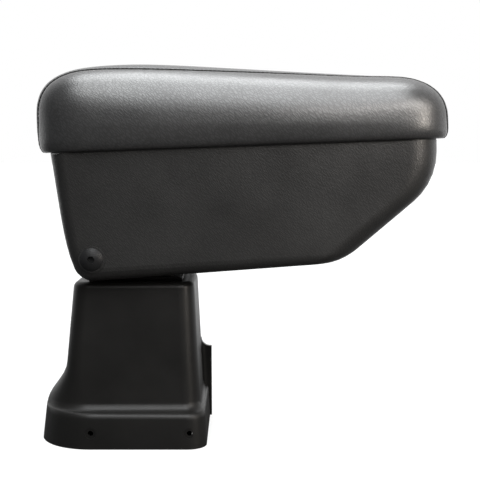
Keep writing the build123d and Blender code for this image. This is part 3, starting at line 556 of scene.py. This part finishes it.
# Seam valley: a bell of the distance to the seam. Puckers: a sine of the length along the seam, its
# phase wandering a little, that starts just off the seam and dies away with distance.
valley = seam["dent"] * np.exp(-(seamGap / seam["width"]) ** 2)
wander = seam["wander"] * np.sin(seamRun / seam["wanderLength"])
wave = np.sin(2 * math.pi * seamRun / seam["puckerLength"] + wander)
fade = np.exp(-seamGap / seam["puckerReach"]) * np.minimum(seamGap / seam["puckerStart"], 1)
valley += seam["pucker"] * wave * fade
valley[:underRows + 1] = 0
padRows = padRows - lidNormal * valley[..., None]
lidCover = meshPiece("lidCover", toWorld(padRows), cappedFaces(*padRows.shape[:2]), leatherette)
weldEnds(lidCover)
finer = lidCover.modifiers.new("finer", "SUBSURF")
finer.levels = finer.render_levels = 1
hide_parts("lid_cover", "lid_foam")
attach(lidCover, "lid")
print("lid cover", padRows.shape[0], "by", padRows.shape[1])

# Seam bead in the bottom of each valley: a tube round the seam, thicker and thinner once per stitch,
# closing to a point at both ends. Its near-black tone is partly the thread's colour and partly painted
# shade of the seam groove.
bead = {"radius": 0.38, "sides": 6, "stitch": 3.2, "swell": 0.2, "sink": 0.42}
# partly thread colour, partly painted shade: the bead is made near-black so the seam reads as a shaded
# groove
beadThreadAndShadeLook = {"scale": 500.0, "bumpScale": 2500.0, "bump": 0.4, "metal": 0.0, "specular": 0.4,
            "dark": (0.010, 0.010, 0.010), "light": (0.018, 0.018, 0.018),
            "roughLow": 0.75, "roughHigh": 0.9}
beadFinish = plainFinish("seamBead", beadThreadAndShadeLook)
heading = np.gradient(seamLine, axis=0)
heading /= np.linalg.norm(heading, axis=1, keepdims=True)
aside = np.cross(heading, seamOut)
run = np.arange(len(seamLine)) * seam["step"]
girth = bead["radius"] * (1 + bead["swell"] * np.sin(2 * math.pi * run / bead["stitch"]))
girth[[0, -1]] = 0.0
turn = (np.arange(bead["sides"]) * 2 * math.pi / bead["sides"])[None, :, None]
ring = seamOut[:, None] * np.cos(turn) + aside[:, None] * np.sin(turn)
beadRows = (seamLine - seamOut * bead["sink"])[:, None] + ring * girth[:, None, None]
for name, rows in (("seamBeadLeft", beadRows), ("seamBeadRight", beadRows * mirror)):
    piece = meshPiece(name, toWorld(rows), ringFaces(*rows.shape[:2]), beadFinish)
    weldEnds(piece)
    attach(piece, "lid")
print("seam beads", len(seamLine), "rings each")

# floor, light and camera
studio = {"floorSize": 30.0, "floorTone": 0.28, "floorShade": 0.06, "floorGlow": 0.74,
          "floorRough": 0.9, "floorNear": 0.15, "floorFar": 0.9, "skyNear": 0.0, "skyFar": 0.5,
          "coverMargin": 0.014, "ambient": 0.10}
floorMesh = bpy.data.meshes.new("floor")
edge = studio["floorSize"] / 2
floorCorners = [(-edge, -edge, 0), (edge, -edge, 0), (edge, edge, 0), (-edge, edge, 0)]
floorMesh.from_pydata(floorCorners, [], [(0, 1, 2, 3)])
floor = bpy.data.objects.new("floor", floorMesh)
scene.collection.objects.link(floor)


# 1 for rays that show the white background: the camera's, and mirrored or see-through ones on the
# backdrop's side. The room on the near side of the object is dim.
def showsBackground(tree, coords, near, far):
    path = tree.nodes.new("ShaderNodeLightPath")
    depth = addNode(tree, "ShaderNodeSeparateXYZ", {"Vector": coords}).outputs["Y"]
    passed = path.outputs["Is Transmission Ray"]
    mirrored = math2(tree, "MAXIMUM", path.outputs["Is Glossy Ray"], passed)
    mirrored = math2(tree, "MULTIPLY", mirrored, mapRange(tree, depth, near, far, 0.0, 1.0))
    return math2(tree, "MAXIMUM", path.outputs["Is Camera Ray"], mirrored)


floorFinish, floorTree, floorShader = blankMaterial("paleFloor")
floorSpot = objectCoords(floorTree)
shown = showsBackground(floorTree, floorSpot, studio["floorNear"], studio["floorFar"])

# the floor doesn't glow under the pedestal and shows its dark tone there, a painted shade patch, so its
# holes stay dark
cover = nodes["pedestal_cover"]
coverBox = np.array([tuple(cover.matrix_world @ Vector(corner)) for corner in cover.bound_box])
middle = (coverBox.max(0) + coverBox.min(0)) / 2
reach = (coverBox.max(0) - coverBox.min(0)) / 2 - studio["coverMargin"]
spot = addNode(floorTree, "ShaderNodeSeparateXYZ", {"Vector": floorSpot}).outputs


def withinCover(k):  # 1 where the floor is under the pedestal along axis k
    offset = math2(floorTree, "SUBTRACT", spot[k], float(middle[k]))
    return math2(floorTree, "LESS_THAN", math2(floorTree, "ABSOLUTE", offset, 0.0), float(reach[k]))


inside = math2(floorTree, "MULTIPLY", withinCover(0), withinCover(1))
outside = math2(floorTree, "SUBTRACT", 1.0, inside)
shown = math2(floorTree, "MULTIPLY", shown, outside)
# painted shade: camera rays see the dark tone on the floor under the pedestal
floorTone = colourMix(floorTree, shown, opaque((studio["floorShade"],) * 3),
                      opaque((studio["floorTone"],) * 3))
floorTree.links.new(floorTone, floorShader.inputs["Base Color"])
floorShader.inputs["Roughness"].default_value = studio["floorRough"]
floorShader.inputs["Specular IOR Level"].default_value = 0.0
floorShader.inputs["Emission Color"].default_value = (1.0, 1.0, 1.0, 1.0)
glow = mapRange(floorTree, shown, 0.0, 1.0, 0.0, studio["floorGlow"])
floorTree.links.new(glow, floorShader.inputs["Emission Strength"])
floorMesh.materials.append(floorFinish)

world = bpy.data.worlds.new("studio")
scene.world = world
world.use_nodes = True
sky = world.node_tree
background = sky.nodes["Background"]
background.inputs["Color"].default_value = (1.0, 1.0, 1.0, 1.0)
skyCoords = addNode(sky, "ShaderNodeTexCoord").outputs["Generated"]
toward = showsBackground(sky, skyCoords, studio["skyNear"], studio["skyFar"])
sky.links.new(mapRange(sky, toward, 0.0, 1.0, studio["ambient"], 1.0), background.inputs["Strength"])


def addLamp(name, kind, place, target, **settings):
    data = bpy.data.lights.new(name, kind)
    for key, value in settings.items():
        setattr(data, key, value)
    lamp = bpy.data.objects.new(name, data)
    scene.collection.objects.link(lamp)
    lamp.location = place
    lamp.rotation_euler = (Vector(target) - Vector(place)).to_track_quat("-Z", "Y").to_euler()
    lamp.visible_camera = False


# suns stand in the direction given, strips and panels at the place given, all turned to a target
coolWhite = (0.97, 0.99, 1.0)
suns = {
    "skySun": {"from": (0.0, 0.26, 0.97), "energy": 2.4, "spread": 36, "color": coolWhite},
    "topSun": {"from": (0.0, -0.14, 0.99), "energy": 0.8, "spread": 30, "color": coolWhite},
    "nearSun": {"from": (0.0, -0.5, 0.87), "energy": 1.7, "spread": 36, "color": coolWhite},
    "frontSun": {"from": (0.2, -0.78, 0.62), "energy": 1.0, "spread": 44, "color": (1.0, 1.0, 1.0)},
}
panels = {
    "boxStrip": {"place": (0.30, -0.28, 0.36), "target": (0.2, -0.06, 0.17), "energy": 0.6,
                 "size": 0.3, "size_y": 0.1, "color": (1.0, 0.96, 0.92)},
    "cornerStrip": {"place": (0.36, -0.20, 0.32), "target": (0.22, -0.06, 0.17), "energy": 0.16,
                    "size": 0.2, "size_y": 0.06, "color": (1.0, 0.94, 0.88)},
    "warmPanel": {"place": (1.18, -0.78, 0.345), "target": (0.22, -0.06, 0.345), "energy": 5.0,
                  "size": 0.4, "size_y": 0.31, "color": (1.0, 0.92, 0.83)},
}
for name, sun in suns.items():
    addLamp(name, "SUN", sun["from"], (0, 0, 0), energy=sun["energy"],
            angle=math.radians(sun["spread"]), color=sun["color"])
for name, panel in panels.items():
    addLamp(name, "AREA", shape="RECTANGLE", **panel)

view = {"place": (0.0886, -0.760, 0.220), "pitch": -5.25, "focalPixels": 980.0, "frame": 480.0,
        "sensor": 36.0, "farthest": 100.0}
cameraData = bpy.data.cameras.new("camera")
cameraData.sensor_width = view["sensor"]
cameraData.lens = view["sensor"] * view["focalPixels"] / view["frame"]
cameraData.clip_end = view["farthest"]
camera = bpy.data.objects.new("camera", cameraData)
scene.collection.objects.link(camera)
camera.location = view["place"]
camera.rotation_euler = (math.radians(90 + view["pitch"]), 0, 0)
scene.camera = camera
scene.view_settings.view_transform = "Standard"
print("studio and camera set")
